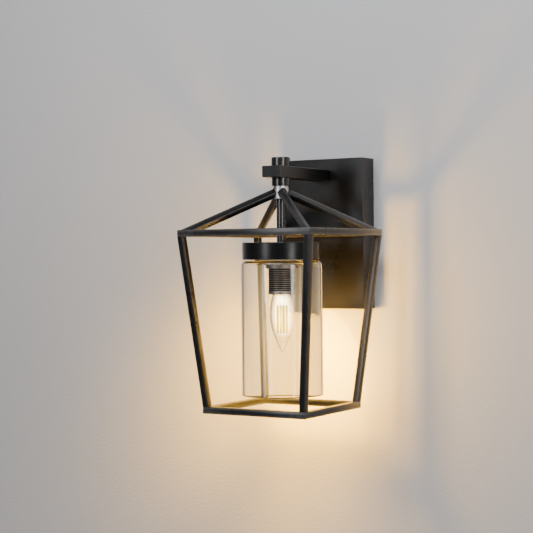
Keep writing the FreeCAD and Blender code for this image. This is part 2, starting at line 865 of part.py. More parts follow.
def wire_nuts():
    cones = []
    low = nut_cone_top - nut_cone_height
    for x in (-nut_cone_spacing, 0, nut_cone_spacing):
        cone = Part.makeCone(nut_cone_tip_radius, nut_cone_radius, nut_cone_height, V(x, canopy_y, low))
        bore = rod(x, canopy_y, nut_cone_top - nut_bore_depth, nut_cone_top, wire_radius + thread_gap)
        cones.append(cone.cut(bore))
    return Part.makeCompound(cones)


pieces = {
    "backplate_shell": backplate_shell(),
    "wall_seal": wall_seal(),
    "mounting_bracket": mounting_bracket(),
    "canopy_screws": canopy_screws(),
    "ground_screw": ground_screw(),
    "wire_nuts": wire_nuts(),
    "live_wire": lead_wire(1),
    "neutral_wire": lead_wire(-1),
    "ground_wire": ground_wire(),
    "arm_tube": arm_tube(),
    "arm_end_cap": arm_end_cap(),
    "arm_root_block": arm_root_block(),
    "arm_clamp_plate": arm_clamp_plate(),
    "arm_screws": arm_screws(),
    "wire_bushing": wire_bushing(),
    "finial": finial(),
    "collar": collar(),
    "hollow_nipple": hollow_nipple(),
    "arm_lock_nut": arm_lock_nut(),
    "hub": hub(),
    "stem_tube": stem_tube(),
    "stem_nipple": stem_nipple(),
    "cap_nut": cap_nut(),
    "shade_cap": shade_cap(),
    "cap_plate": cap_plate(),
    "shade_gasket": shade_gasket(),
    "glass_shade": glass_shade(),
    "shade_ring": shade_ring(),
    "socket_body": socket_body(),
    "socket_screw_shell": socket_screw_shell(),
    "socket_contact": socket_contact(),
    "socket_terminals": socket_terminals(),
    "bulb_base": bulb_base(),
    "bulb_insulator": bulb_insulator(),
    "bulb_contact": bulb_contact(),
    "bulb_glass": bulb_glass(),
    "bulb_stem": bulb_stem(),
    "bulb_filaments": bulb_filaments(),
    "filament_leads": filament_leads(),
    "bulb_driver": bulb_driver(),
}

# the cage: side 0 is the front, and the sides follow anticlockwise seen from above
for number, side in enumerate(("front", "right", "back", "left")):
    pieces["top_rail_" + side] = rail(cage_top_width / 2, cage_top - bar_size, 90 * number)
    pieces["bottom_rail_" + side] = rail(cage_bottom_width / 2, cage_bottom, 90 * number)

corners = {"front_left": (-1, -1), "front_right": (1, -1), "back_right": (1, 1), "back_left": (-1, 1)}
for name, (side_x, side_y) in corners.items():
    pieces["post_" + name] = post(side_x, side_y)
    pieces["rafter_" + name] = rafter(math.degrees(math.atan2(side_y, side_x)))

os.makedirs("parts", exist_ok=True)
for node, shape in pieces.items():
    shape.exportStep("parts/" + node + ".step")
print(len(pieces), "nodes")
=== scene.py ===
import bpy
import bmesh
import json
import math
from mathutils import Matrix, Vector


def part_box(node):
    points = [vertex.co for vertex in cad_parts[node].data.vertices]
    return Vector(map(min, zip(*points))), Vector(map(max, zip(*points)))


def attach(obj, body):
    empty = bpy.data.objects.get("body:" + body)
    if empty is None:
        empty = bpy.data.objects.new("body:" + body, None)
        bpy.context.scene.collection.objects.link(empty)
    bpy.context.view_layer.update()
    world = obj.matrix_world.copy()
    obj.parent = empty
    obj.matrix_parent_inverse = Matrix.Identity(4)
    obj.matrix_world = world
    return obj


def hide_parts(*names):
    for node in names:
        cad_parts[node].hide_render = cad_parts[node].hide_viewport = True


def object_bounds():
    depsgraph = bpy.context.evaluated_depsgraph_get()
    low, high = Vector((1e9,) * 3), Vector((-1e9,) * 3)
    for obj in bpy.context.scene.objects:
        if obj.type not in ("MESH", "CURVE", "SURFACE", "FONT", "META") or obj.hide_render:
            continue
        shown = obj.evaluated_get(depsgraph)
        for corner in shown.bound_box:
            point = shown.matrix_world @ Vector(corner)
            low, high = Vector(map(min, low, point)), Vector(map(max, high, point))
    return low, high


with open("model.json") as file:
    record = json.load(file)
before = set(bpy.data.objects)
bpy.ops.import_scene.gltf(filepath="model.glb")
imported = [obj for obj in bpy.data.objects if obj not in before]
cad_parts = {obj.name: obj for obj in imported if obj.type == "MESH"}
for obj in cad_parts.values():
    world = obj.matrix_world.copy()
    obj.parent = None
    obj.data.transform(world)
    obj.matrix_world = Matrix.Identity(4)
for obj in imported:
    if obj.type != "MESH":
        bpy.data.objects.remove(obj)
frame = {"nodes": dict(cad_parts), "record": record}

cadBox = [list(corner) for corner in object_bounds()]
nodes = frame["nodes"]
mm = 0.001
print("frame loaded:", len(nodes), "nodes")


# places that everything else is measured from
def low(node):
    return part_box(node)[0]


def high(node):
    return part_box(node)[1]


def middle(node):
    return (low(node) + high(node)) / 2


def radiusOf(node):
    return (high(node).x - low(node).x) / 2


lampAxis = Vector((middle("stem_tube").x, middle("stem_tube").y, 0))
cageTop = high("top_rail_front").z


def addObject(name, data):
    item = bpy.data.objects.new(name, data)
    bpy.context.scene.collection.objects.link(item)
    return item


# camera
cameraView = {
    "aside": 0.9942,        # metres to the right of the lamp's axis
    "ahead": 1.6926,        # in front of it
    "under": 0.0386,        # below the top of the cage
    "turn": 31.05,          # degrees to the left
    "tip": -0.38,
    "roll": -0.54,
    "lens": 94.6,
    "sensor": 36,
    "farthest": 30,
}


def placeCamera(view):
    data = bpy.data.cameras.new("camera")
    data.lens = view["lens"]
    data.sensor_width = view["sensor"]
    data.clip_end = view["farthest"]
    camera = addObject("camera", data)
    spot = Vector((lampAxis.x + view["aside"], lampAxis.y - view["ahead"], cageTop - view["under"]))
    turn = Matrix.Rotation(math.radians(view["turn"]), 4, "Z")
    tip = Matrix.Rotation(math.radians(90 + view["tip"]), 4, "X")
    roll = Matrix.Rotation(math.radians(view["roll"]), 4, "Z")
    camera.matrix_world = Matrix.Translation(spot) @ turn @ tip @ roll
    bpy.context.scene.camera = camera


placeCamera(cameraView)
print("camera placed")


# node helpers
def addNode(tree, kind, values=None, **settings):
    node = tree.nodes.new(kind)
    for key, value in settings.items():
        setattr(node, key, value)
    for key, value in (values or {}).items():
        node.inputs[key].default_value = value
    return node


def mathNode(tree, operation, first, second=None, clamp=False):
    node = addNode(tree, "ShaderNodeMath", operation=operation, use_clamp=clamp)
    for index, item in enumerate((first, second)):
        if item is None:
            continue
        if isinstance(item, (int, float)):
            node.inputs[index].default_value = item
        else:
            tree.links.new(item, node.inputs[index])
    return node.outputs[0]


def addScaled(tree, base, extra, share):
    return mathNode(tree, "ADD", base, mathNode(tree, "MULTIPLY", extra, share))


def rangeNode(tree, value, start, end, atStart=0.0, atEnd=1.0):
    limits = {"From Min": start, "From Max": end, "To Min": atStart, "To Max": atEnd}
    node = addNode(tree, "ShaderNodeMapRange", limits)
    tree.links.new(value, node.inputs["Value"])
    return node.outputs["Result"]


def mixColour(tree, factor, first, second):
    node = addNode(tree, "ShaderNodeMix", data_type="RGBA")
    tree.links.new(factor, node.inputs["Factor"])
    for item, socket in ((first, node.inputs[6]), (second, node.inputs[7])):
        if isinstance(item, (tuple, list)):
            socket.default_value = (*item[:3], 1)
        else:
            tree.links.new(item, socket)
    return node.outputs[2]


def objectPlace(tree):
    return addNode(tree, "ShaderNodeTexCoord").outputs["Object"]


def splitNode(tree, vector):
    node = addNode(tree, "ShaderNodeSeparateXYZ")
    tree.links.new(vector, node.inputs[0])
    return node.outputs


def noiseNode(tree, scale, detail, roughness):
    node = addNode(tree, "ShaderNodeTexNoise", {"Detail": detail, "Roughness": roughness})
    tree.links.new(objectPlace(tree), node.inputs["Vector"])
    tree.links.new(scale, node.inputs["Scale"])
    return node.outputs["Fac"]


def newGroup(name, inputs, outputs):
    group = bpy.data.node_groups.new(name, "ShaderNodeTree")
    for label, default in inputs.items():
        socket = group.interface.new_socket(name=label, in_out="INPUT", socket_type="NodeSocketFloat")
        socket.default_value = default
    for label in outputs:
        group.interface.new_socket(name=label, in_out="OUTPUT", socket_type="NodeSocketFloat")
    return group, group.nodes.new("NodeGroupInput").outputs, group.nodes.new("NodeGroupOutput").inputs


def useGroup(tree, group, values):
    node = tree.nodes.new("ShaderNodeGroup")
    node.node_tree = group
    for key, value in values.items():
        node.inputs[key].default_value = value
    return node


# shared effects; each noise is its detail and roughness
grainNoise = {"fine": (3.0, 0.55), "slow": (5.0, 0.6), "speck": 0.16}
wearAndHighlightNoise = {"samples": 4, "bend": (0.9992, 0.975), "noise": (6.0, 0.7), "patches": (0.35, 0.65),
             "least": 0.4}
dustNoise = {"slope": (0.35, 1.0), "noise": (8.0, 0.72), "patches": (0.35, 0.75), "least": 0.2}
turningNoise = {"detail": 4.0, "roughness": 0.7, "slowScale": 30.0, "slowDetail": 3.0}


def makeGrainGroup(look):
    # fine bumps of a sprayed or moulded skin, with slow changes of tone
    inputs = {"Grain": 900.0, "Patch": 18.0}
    group, source, result = newGroup("skinGrain", inputs, ("Height", "Tone", "Speck"))
    group.links.new(noiseNode(group, source["Grain"], *look["fine"]), result["Height"])
    group.links.new(noiseNode(group, source["Patch"], *look["slow"]), result["Tone"])
    cells = addNode(group, "ShaderNodeTexVoronoi")
    group.links.new(objectPlace(group), cells.inputs["Vector"])
    group.links.new(source["Grain"], cells.inputs["Scale"])
    speck = rangeNode(group, cells.outputs["Distance"], 0.0, look["speck"], 1.0, 0.0)
    group.links.new(speck, result["Speck"])
    return group


def breakUp(group, mask, source, look):
    # a mask that noise breaks into patches
    patch = noiseNode(group, source["Patch"], *look["noise"])
    broken = rangeNode(group, patch, *look["patches"], look["least"], 1.0)
    mask = mathNode(group, "MULTIPLY", mask, broken)
    return mathNode(group, "MULTIPLY", mask, source["Amount"], clamp=True)


def makeWearAndHighlightGroup(look):
    # rubbed edges, lightened also as painted highlights on the arrises: where a rounded normal leaves the
    # face's own
    inputs = {"Radius": 0.8 * mm, "Patch": 90.0, "Amount": 0.5}
    group, source, result = newGroup("edgeWearAndHighlight", inputs, ("Mask",))
    rounded = addNode(group, "ShaderNodeBevel", samples=look["samples"])
    group.links.new(source["Radius"], rounded.inputs["Radius"])
    face = addNode(group, "ShaderNodeNewGeometry")
    dot = addNode(group, "ShaderNodeVectorMath", operation="DOT_PRODUCT")
    group.links.new(rounded.outputs["Normal"], dot.inputs[0])
    group.links.new(face.outputs["True Normal"], dot.inputs[1])
    edge = rangeNode(group, dot.outputs["Value"], *look["bend"])
    group.links.new(breakUp(group, edge, source, look), result["Mask"])
    return group


def makeDustGroup(look):
    # dust that settles on what faces up
    group, source, result = newGroup("dustFilm", {"Amount": 0.3, "Patch": 45.0}, ("Mask",))
    face = addNode(group, "ShaderNodeNewGeometry")
    upward = rangeNode(group, splitNode(group, face.outputs["Normal"])["Z"], *look["slope"])
    group.links.new(breakUp(group, upward, source, look), result["Mask"])
    return group


def makeTurningGroup(look):
    # tool marks that run round the lamp's axis, on walls and on flat ends alike
    inputs = {"Axis Y": 0.0, "Spacing": 0.4 * mm}
    group, source, result = newGroup("turningMarks", inputs, ("Height", "Tone", "Reach"))
    place = objectPlace(group)
    split = splitNode(group, place)
    across = mathNode(group, "SUBTRACT", split["Y"], source["Axis Y"])
    square = mathNode(group, "MULTIPLY", split["X"], split["X"])
    square = mathNode(group, "ADD", square, mathNode(group, "MULTIPLY", across, across))
    reach = mathNode(group, "SQRT", square)
    step = mathNode(group, "DIVIDE", mathNode(group, "ADD", reach, split["Z"]), source["Spacing"])
    values = {"Scale": 1.0, "Detail": look["detail"], "Roughness": look["roughness"]}
    lines = addNode(group, "ShaderNodeTexNoise", values, noise_dimensions="1D")
    group.links.new(step, lines.inputs["W"])
    slow = addNode(group, "ShaderNodeTexNoise", {"Scale": look["slowScale"], "Detail": look["slowDetail"]})
    group.links.new(place, slow.inputs["Vector"])
    tone = mathNode(group, "MULTIPLY", lines.outputs["Fac"], slow.outputs["Fac"])
    for value, label in ((lines.outputs["Fac"], "Height"), (reach, "Reach"), (tone, "Tone")):
        group.links.new(value, result[label])
    return group


skinGrain = makeGrainGroup(grainNoise)
edgeWearAndHighlight = makeWearAndHighlightGroup(wearAndHighlightNoise)
dustFilm = makeDustGroup(dustNoise)
turningMarks = makeTurningGroup(turningNoise)
print("shared effects made")


# materials
def startMaterial(name):
    material = bpy.data.materials.new(name)
    material.use_nodes = True
    tree = material.node_tree
    tree.nodes.clear()
    shader = tree.nodes.new("ShaderNodeBsdfPrincipled")
    output = tree.nodes.new("ShaderNodeOutputMaterial")
    tree.links.new(shader.outputs["BSDF"], output.inputs["Surface"])
    return material, tree, shader, output


def bumpFrom(tree, shader, height, depth):
    bump = addNode(tree, "ShaderNodeBump", {"Strength": 1.0, "Distance": depth})
    tree.links.new(height, bump.inputs["Height"])
    tree.links.new(bump.outputs["Normal"], shader.inputs["Normal"])


def fromTone(tree, grain, start=0.0, end=1.0, band=(0.3, 0.7)):
    # a value that follows the slow noise, whose middle band carries the change
    return rangeNode(tree, grain.outputs["Tone"], *band, start, end)


def tonedColour(tree, grain, look):
    return mixColour(tree, fromTone(tree, grain), look["colour"], look["second"])


def clearWhere(tree, shader, output, factor, tint=(1, 1, 1)):
    # light goes straight through where the factor is one
    clear = addNode(tree, "ShaderNodeBsdfTransparent", {"Color": (*tint, 1)})
    mix = addNode(tree, "ShaderNodeMixShader")
    tree.links.new(factor, mix.inputs[0])
    tree.links.new(shader.outputs["BSDF"], mix.inputs[1])
    tree.links.new(clear.outputs["BSDF"], mix.inputs[2])
    tree.links.new(mix.outputs["Shader"], output.inputs["Surface"])


paintExtras = {"wearAndHighlightPatch": 110.0, "dustPatch": 60.0, "dustColour": (0.32, 0.30, 0.27), "dustDull": 0.4,
               "turnedGrain": 0.4, "turnedDull": 0.12, "coatRough": 0.12, "sheen": 0.5}


def coatedMetal(name, look):
    # paint or plating over metal: grain, tone, rubbed edges lightened partly as painted highlights, and dust
    material, tree, shader, output = startMaterial(name)
    grain = useGroup(tree, skinGrain, {"Grain": look["grain"], "Patch": look["patch"]})
    colour = tonedColour(tree, grain, look)
    roughness = fromTone(tree, grain, *look["rough"])
    height = grain.outputs["Height"]
    if look.get("wearAndHighlight"):
        values = {"Radius": look["wearAndHighlightRadius"], "Patch": paintExtras["wearAndHighlightPatch"], "Amount": look["wearAndHighlight"]}
        wearAndHighlight = useGroup(tree, edgeWearAndHighlight, values)
        # the pale edge colour is partly rubbed paint and partly a painted highlight along the arrises
        colour = mixColour(tree, wearAndHighlight.outputs["Mask"], colour, look["under"])
    if look.get("dust"):
        dust = useGroup(tree, dustFilm, {"Amount": look["dust"], "Patch": paintExtras["dustPatch"]})
        colour = mixColour(tree, dust.outputs["Mask"], colour, paintExtras["dustColour"])
        roughness = addScaled(tree, roughness, dust.outputs["Mask"], paintExtras["dustDull"])
    if look.get("turned"):
        marks = useGroup(tree, turningMarks, {"Axis Y": lampAxis.y, "Spacing": look["turned"]})
        height = addScaled(tree, marks.outputs["Height"], height, paintExtras["turnedGrain"])
        roughness = addScaled(tree, roughness, marks.outputs["Tone"], paintExtras["turnedDull"])
    if look.get("grooves"):
        # painted shade between the ribs
        depth = rangeNode(tree, marks.outputs["Reach"], *look["grooves"], 1.0, 0.0)
        colour = mixColour(tree, depth, colour, look["grooveShadeColour"])
    tree.links.new(colour, shader.inputs["Base Color"])
    tree.links.new(roughness, shader.inputs["Roughness"])
    bumpFrom(tree, shader, height, look["depth"])
    shader.inputs["Metallic"].default_value = look["metallic"]
    shader.inputs["Specular IOR Level"].default_value = look.get("sheen", paintExtras["sheen"])
    if look.get("rimTint"):
        shader.inputs["Specular Tint"].default_value = (*look["rimTint"], 1)
    if look.get("coat"):
        shader.inputs["Coat Weight"].default_value = look["coat"]
        shader.inputs["Coat Roughness"].default_value = paintExtras["coatRough"]
    return material


def plainPlastic(name, look):
    # moulded plastic, rubber or insulation, with a fine grain, and pores in the foam
    material, tree, shader, output = startMaterial(name)
    grain = useGroup(tree, skinGrain, {"Grain": look["grain"], "Patch": look["patch"]})
    tree.links.new(tonedColour(tree, grain, look), shader.inputs["Base Color"])
    tree.links.new(fromTone(tree, grain, *look["rough"]), shader.inputs["Roughness"])
    height = addScaled(tree, grain.outputs["Height"], grain.outputs["Speck"], look.get("pores", 0.0))
    bumpFrom(tree, shader, height, look["depth"])
    if look.get("soft"):
        shader.inputs["Subsurface Weight"].default_value = look["soft"]
        shader.inputs["Subsurface Radius"].default_value = (2.0 * mm, 1.6 * mm, 1.2 * mm)
    return material


# the cut edge's darker colour is painted shade; its dullness is a ground finish
cutLook = {"size": 2.0 * mm, "fade": 0.6, "colour": (0.06, 0.06, 0.055), "dull": 0.2}
paintedGlowPlacing = {"lift": 7 * mm, "depth": 8 * mm, "facing": (0.08, 0.42)}


def paintedGlassGlow(tree, shader, split, look):
    # painted glow on the glass, which is no lamp: strongest round the filaments, and less towards the front
    # and the glass's edges
    away = mathNode(tree, "SUBTRACT", split["Z"], middle("bulb_filaments").z + paintedGlowPlacing["lift"])
    paintedGlowStrength = rangeNode(tree, mathNode(tree, "ABSOLUTE", away), *look["reach"], look["paintedGlow"], 0.0)
    deep = rangeNode(tree, split["Y"], lampAxis.y, lampAxis.y + paintedGlowPlacing["depth"], look["near"], 1.0)
    facing = addNode(tree, "ShaderNodeLayerWeight").outputs["Facing"]
    heart = rangeNode(tree, facing, *paintedGlowPlacing["facing"], 1.0, look["edge"])
    warm = mixColour(tree, heart, look["paintedGlowEdgeColour"], look["paintedGlowColour"])
    tree.links.new(warm, shader.inputs["Emission Color"])
    paintedGlowStrength = mathNode(tree, "MULTIPLY", paintedGlowStrength, mathNode(tree, "MULTIPLY", deep, heart))
    tree.links.new(paintedGlowStrength, shader.inputs["Emission Strength"])


def clearGlass(name, look):
    # lamps' light passes straight through, everything else is bent and mirrored
    material, tree, shader, output = startMaterial(name)
    grain = useGroup(tree, skinGrain, {"Grain": look["waves"], "Patch": look["patch"]})
    colour = tonedColour(tree, grain, look)
    roughness = fromTone(tree, grain, *look["rough"], band=(0.5, 0.75))
    split = splitNode(tree, objectPlace(tree))
    if look.get("cut"):
        # the cut edge at the open end is ground dull, and painted darker as the shade such an edge shows seen
        # side-on
        end = low("glass_shade").z
        size = cutLook["size"]
        cut = rangeNode(tree, split["Z"], end + size, end + size * cutLook["fade"])
        colour = mixColour(tree, cut, colour, cutLook["colour"])
        roughness = addScaled(tree, roughness, cut, cutLook["dull"])
    tree.links.new(colour, shader.inputs["Base Color"])
    tree.links.new(roughness, shader.inputs["Roughness"])
    shader.inputs["Transmission Weight"].default_value = 1.0
    shader.inputs["IOR"].default_value = look["ior"]
    bumpFrom(tree, shader, grain.outputs["Height"], look["depth"])
    # painted warm glow in the glass, standing in for the lit bulb's haze and halo
    paintedGlassGlow(tree, shader, split, look)
    rays = addNode(tree, "ShaderNodeLightPath")
    clearWhere(tree, shader, output, rays.outputs["Is Shadow Ray"], look["shade"])
    return material


def glowingFilament(name, look):
    # a phosphor strip over a row of small chips
    material, tree, shader, output = startMaterial(name)
    split = splitNode(tree, objectPlace(tree))
    wave = mathNode(tree, "SINE", mathNode(tree, "MULTIPLY", split["Z"], 2 * math.pi / look["chip"]))
    chips = rangeNode(tree, wave, -1.0, 1.0)
    tree.links.new(mixColour(tree, chips, look["colour"], look["second"]), shader.inputs["Base Color"])
    tree.links.new(mixColour(tree, chips, look["cool"], look["hot"]), shader.inputs["Emission Color"])
    shader.inputs["Emission Strength"].default_value = look["strength"]
    shader.inputs["Roughness"].default_value = look["rough"]
    return material


paintBase = {"metallic": 1.0, "grain": 1200.0, "depth": 0.02 * mm}
paintLooks = {
    "blackPaint": {
        "colour": (0.0028, 0.0027, 0.0030), "second": (0.0045, 0.0043, 0.0047), "rough": (0.26, 0.34),
        "metallic": 0.0, "grain": 1500.0, "patch": 22.0, "dust": 0.004, "sheen": 0.36,
        # the pale edge colour is partly wear and partly painted highlight on the arrises
        "wearAndHighlight": 0.45, "wearAndHighlightRadius": 0.4 * mm, "under": (0.17, 0.165, 0.16)},
    "turnedBlack": {
        "colour": (0.008, 0.008, 0.0085), "second": (0.012, 0.0118, 0.0125), "rough": (0.20, 0.28),
        "metallic": 0.0, "grain": 1800.0, "patch": 30.0, "turned": 0.6 * mm, "coat": 0.25,
        "wearAndHighlight": 0.25, "wearAndHighlightRadius": 0.5 * mm, "under": (0.09, 0.085, 0.085)},
    "greySleeve": {
        "colour": (0.50, 0.50, 0.52), "second": (0.62, 0.62, 0.63), "rough": (0.30, 0.42), "patch": 60.0,
        "turned": 0.5 * mm},
    "zincPlate": {
        "colour": (0.56, 0.57, 0.55), "second": (0.66, 0.65, 0.60), "rough": (0.28, 0.42), "grain": 900.0,
        "patch": 70.0, "wearAndHighlight": 0.35, "wearAndHighlightRadius": 0.4 * mm, "under": (0.75, 0.75, 0.75)},
    "spunAluminium": {
        "colour": (0.32, 0.28, 0.23), "second": (0.42, 0.37, 0.31), "rough": (0.38, 0.48), "patch": 50.0,
        # the groove colour is painted shade in the recesses between the ribs
        "depth": 0.03 * mm, "turned": 0.7 * mm, "grooves": (18.4 * mm, 18.9 * mm),
        "grooveShadeColour": (0.012, 0.011, 0.010), "rimTint": (0.30, 0.28, 0.26)},
    "brassPart": {
        "colour": (0.70, 0.47, 0.20), "second": (0.78, 0.56, 0.28), "rough": (0.25, 0.4), "patch": 80.0},
    "nickelPlate": {
        "colour": (0.62, 0.60, 0.56), "second": (0.70, 0.68, 0.63), "rough": (0.12, 0.24), "grain": 1400.0,
        "patch": 90.0, "depth": 0.01 * mm},
    "screwBlack": {
        "colour": (0.012, 0.012, 0.012), "second": (0.02, 0.02, 0.02), "rough": (0.3, 0.42), "metallic": 0.4,
        "grain": 1500.0, "patch": 80.0, "depth": 0.03 * mm,
        "wearAndHighlight": 0.6, "wearAndHighlightRadius": 0.3 * mm, "under": (0.3, 0.3, 0.3)},
    "groundGreen": {
        "colour": (0.02, 0.22, 0.06), "second": (0.03, 0.28, 0.08), "rough": (0.25, 0.35), "metallic": 0.7,
        "grain": 1500.0, "patch": 80.0},
}

plasticBase = {"rough": (0.3, 0.42), "grain": 1500.0, "patch": 120.0, "depth": 0.02 * mm}
plasticLooks = {
    "blackInsulation": {"colour": (0.012, 0.012, 0.012), "second": (0.02, 0.02, 0.02)},
    "whiteInsulation": {"colour": (0.72, 0.71, 0.68), "second": (0.80, 0.79, 0.76), "soft": 0.1},
    "greenInsulation": {"colour": (0.02, 0.22, 0.05), "second": (0.03, 0.28, 0.07)},
    "orangePlastic": {
        "colour": (0.78, 0.20, 0.02), "second": (0.85, 0.25, 0.03), "rough": (0.38, 0.5), "grain": 1400.0,
        "patch": 150.0, "depth": 0.03 * mm, "soft": 0.08},
    "blackNylon": {
        "colour": (0.015, 0.015, 0.015), "second": (0.022, 0.022, 0.022), "rough": (0.4, 0.5),
        "grain": 1400.0, "patch": 150.0, "depth": 0.03 * mm},
    "foamStrip": {
        "colour": (0.012, 0.012, 0.013), "second": (0.03, 0.03, 0.032), "rough": (0.85, 0.95),
        "grain": 1100.0, "patch": 220.0, "depth": 0.5 * mm, "pores": -1.2},
    "siliconeRubber": {
        "colour": (0.55, 0.55, 0.53), "second": (0.64, 0.64, 0.61), "rough": (0.42, 0.55), "grain": 900.0,
        "patch": 60.0, "depth": 0.03 * mm, "soft": 0.25},
    "blackLampGlass": {
        "colour": (0.008, 0.008, 0.010), "second": (0.014, 0.014, 0.018), "rough": (0.08, 0.16),
        "grain": 500.0, "patch": 100.0, "depth": 0.03 * mm},
    "boardWhite": {
        "colour": (0.62, 0.60, 0.54), "second": (0.70, 0.68, 0.62), "rough": (0.3, 0.45), "grain": 700.0,
        "patch": 150.0},
}

# the glow settings are painted light: glass that glows though it is no lamp
glassLooks = {
    "shadeGlass": {
        "colour": (1.0, 1.0, 1.0), "second": (0.995, 0.998, 0.996), "rough": (0.0, 0.003), "ior": 1.34,
        "waves": 9.0, "patch": 30.0, "depth": 0.06 * mm, "shade": (0.96, 0.965, 0.96), "cut": True,
        "paintedGlow": 0.24, "paintedGlowColour": (1.0, 0.70, 0.28), "paintedGlowEdgeColour": (1.0, 0.60, 0.15),
        "near": 0.0, "edge": 0.0, "reach": (12 * mm, 150 * mm)},
    "bulbGlass": {
        "colour": (1.0, 0.995, 0.98), "second": (0.99, 0.98, 0.96), "rough": (0.0, 0.02), "ior": 1.3,
        "waves": 40.0, "patch": 60.0, "depth": 0.1 * mm, "shade": (0.99, 0.985, 0.97),
        "paintedGlow": 4.0, "paintedGlowColour": (1.0, 0.82, 0.46), "paintedGlowEdgeColour": (1.0, 0.50, 0.03),
        "near": 0.0, "edge": 0.06, "reach": (20 * mm, 31 * mm)},
    "mountGlass": {
        "colour": (0.97, 0.96, 0.92), "second": (0.94, 0.92, 0.88), "rough": (0.02, 0.08), "ior": 1.45,
        "waves": 120.0, "patch": 200.0, "depth": 0.06 * mm, "shade": (0.95, 0.93, 0.88),
        "paintedGlow": 2.5, "paintedGlowColour": (1.0, 0.82, 0.50), "paintedGlowEdgeColour": (1.0, 0.70, 0.30),
        "near": 1.0, "edge": 0.5, "reach": (20 * mm, 31 * mm)},
}

filamentLook = {
    "colour": (0.03, 0.02, 0.003), "second": (0.05, 0.035, 0.006), "rough": 0.6,
    "cool": (1.0, 0.72, 0.0), "hot": (1.0, 0.84, 0.0), "chip": 1.6 * mm, "strength": 2.1}

materials = {"filamentGlow": glowingFilament("filamentGlow", filamentLook)}
for make, base, looks in ((coatedMetal, paintBase, paintLooks), (plainPlastic, plasticBase, plasticLooks),
                          (clearGlass, {}, glassLooks)):
    for name, look in looks.items():
        materials[name] = make(name, {**base, **look})

slotMaterials = {
    "black_finish": "blackPaint", "black_turned": "turnedBlack", "black_screws": "screwBlack",
    "zinc_steel": "zincPlate", "hub_metal": "greySleeve", "holder_metal": "spunAluminium",
    "clear_glass": "shadeGlass", "bulb_glass": "bulbGlass", "stem_glass": "mountGlass",
    "black_glass": "blackLampGlass", "silicone": "siliconeRubber", "foam": "foamStrip",
    "brass": "brassPart", "nickel": "nickelPlate", "lead_metal": "nickelPlate", "filament": "filamentGlow",
    "black_insulation": "blackInsulation", "white_insulation": "whiteInsulation",
    "green_insulation": "greenInsulation", "ground_green": "groundGreen", "nut_plastic": "orangePlastic",
    "bushing_plastic": "blackNylon", "circuit_board": "boardWhite",
}
record = frame["record"]
slotOfNode = {part["node"]: part["material_slot"] for part in record["subparts"]}
bodyOfNode = {node: body for body, members in record["behaviour"]["bodies"].items() for node in members}
print("materials made:", len(materials))


# carried-over pieces: eased edges and a finish
edgeEase = {"arm": 0.3, "backplate": 0.25, "mounting": 0.25, "cap_nut": 0.3, "shade_ring": 0.2, "usual": 0.12}
easeFit = {"weld": 0.01 * mm, "segments": 3, "angle": 40}


def giveFinish(item, node):
    item.data.materials.append(materials[slotMaterials[slotOfNode[node]]])


def finishNode(name, item):
    item.data.materials.clear()
    giveFinish(item, name)
    weld = item.modifiers.new("weld", "WELD")
    weld.merge_threshold = easeFit["weld"]
    ease = item.modifiers.new("ease", "BEVEL")
    fitting = [size for start, size in edgeEase.items() if name.startswith(start)]
    ease.width = (fitting[0] if fitting else edgeEase["usual"]) * mm
    ease.segments = easeFit["segments"]
    ease.limit_method = "ANGLE"
    ease.angle_limit = math.radians(easeFit["angle"])
    ease.harden_normals = True


for name, item in nodes.items():
    finishNode(name, item)
print("carried-over pieces finished")


# making and settling new pieces
def addTo(item, node):
    # gives a new piece the finish, body and slot of a CAD node
    giveFinish(item, node)
    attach(item, bodyOfNode[node])
    return item


def settle(item, node, *others):
    # the same, and the piece stands for the node
    addTo(item, node)
    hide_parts(node, *others)
    return item


def hideFrom(item, *rays):
    for ray in rays:
        setattr(item, "visible_" + ray, False)


meshFit = {"merge": 1e-7, "sharp": 50.0, "sharpBar": 35.0, "shortOfHalf": 0.45, "upright": 0.01}


def solidFrom(name, mesh, sharp=meshFit["sharp"]):
    bmesh.ops.remove_doubles(mesh, verts=mesh.verts, dist=meshFit["merge"])
    bmesh.ops.recalc_face_normals(mesh, faces=mesh.faces)
    for face in mesh.faces:
        face.smooth = True
    for edge in mesh.edges:
        if len(edge.link_faces) == 2 and edge.calc_face_angle(0) > math.radians(sharp):
            edge.smooth = False
    data = bpy.data.meshes.new(name)
    mesh.to_mesh(data)
    mesh.free()
    return addObject(name, data)


def joinRings(mesh, rings, closed=False):
    # skins a row of point rings; a ring of one point closes to a tip
    following = rings[1:] + rings[:1] if closed else rings[1:]
    for first, second in zip(rings, following):
        count = max(len(first), len(second))
        for k in range(count):
            j = (k + 1) % count
            if len(first) == 1 and len(second) == 1:
                continue
            if len(first) == 1:
                mesh.faces.new((first[0], second[k], second[j]))
            elif len(second) == 1:
                mesh.faces.new((first[k], second[0], first[j]))
            else:
                mesh.faces.new((first[k], second[k], second[j], first[j]))


def fullTurn(steps):
    return [2 * math.pi * k / steps for k in range(steps)]


def ringAt(mesh, radius, z, steps, centre=None):
    x, y = centre or (lampAxis.x, lampAxis.y)
    if radius < meshFit["merge"]:
        return [mesh.verts.new((x, y, z))]
    return [mesh.verts.new((x + radius * math.cos(t), y + radius * math.sin(t), z)) for t in fullTurn(steps)]


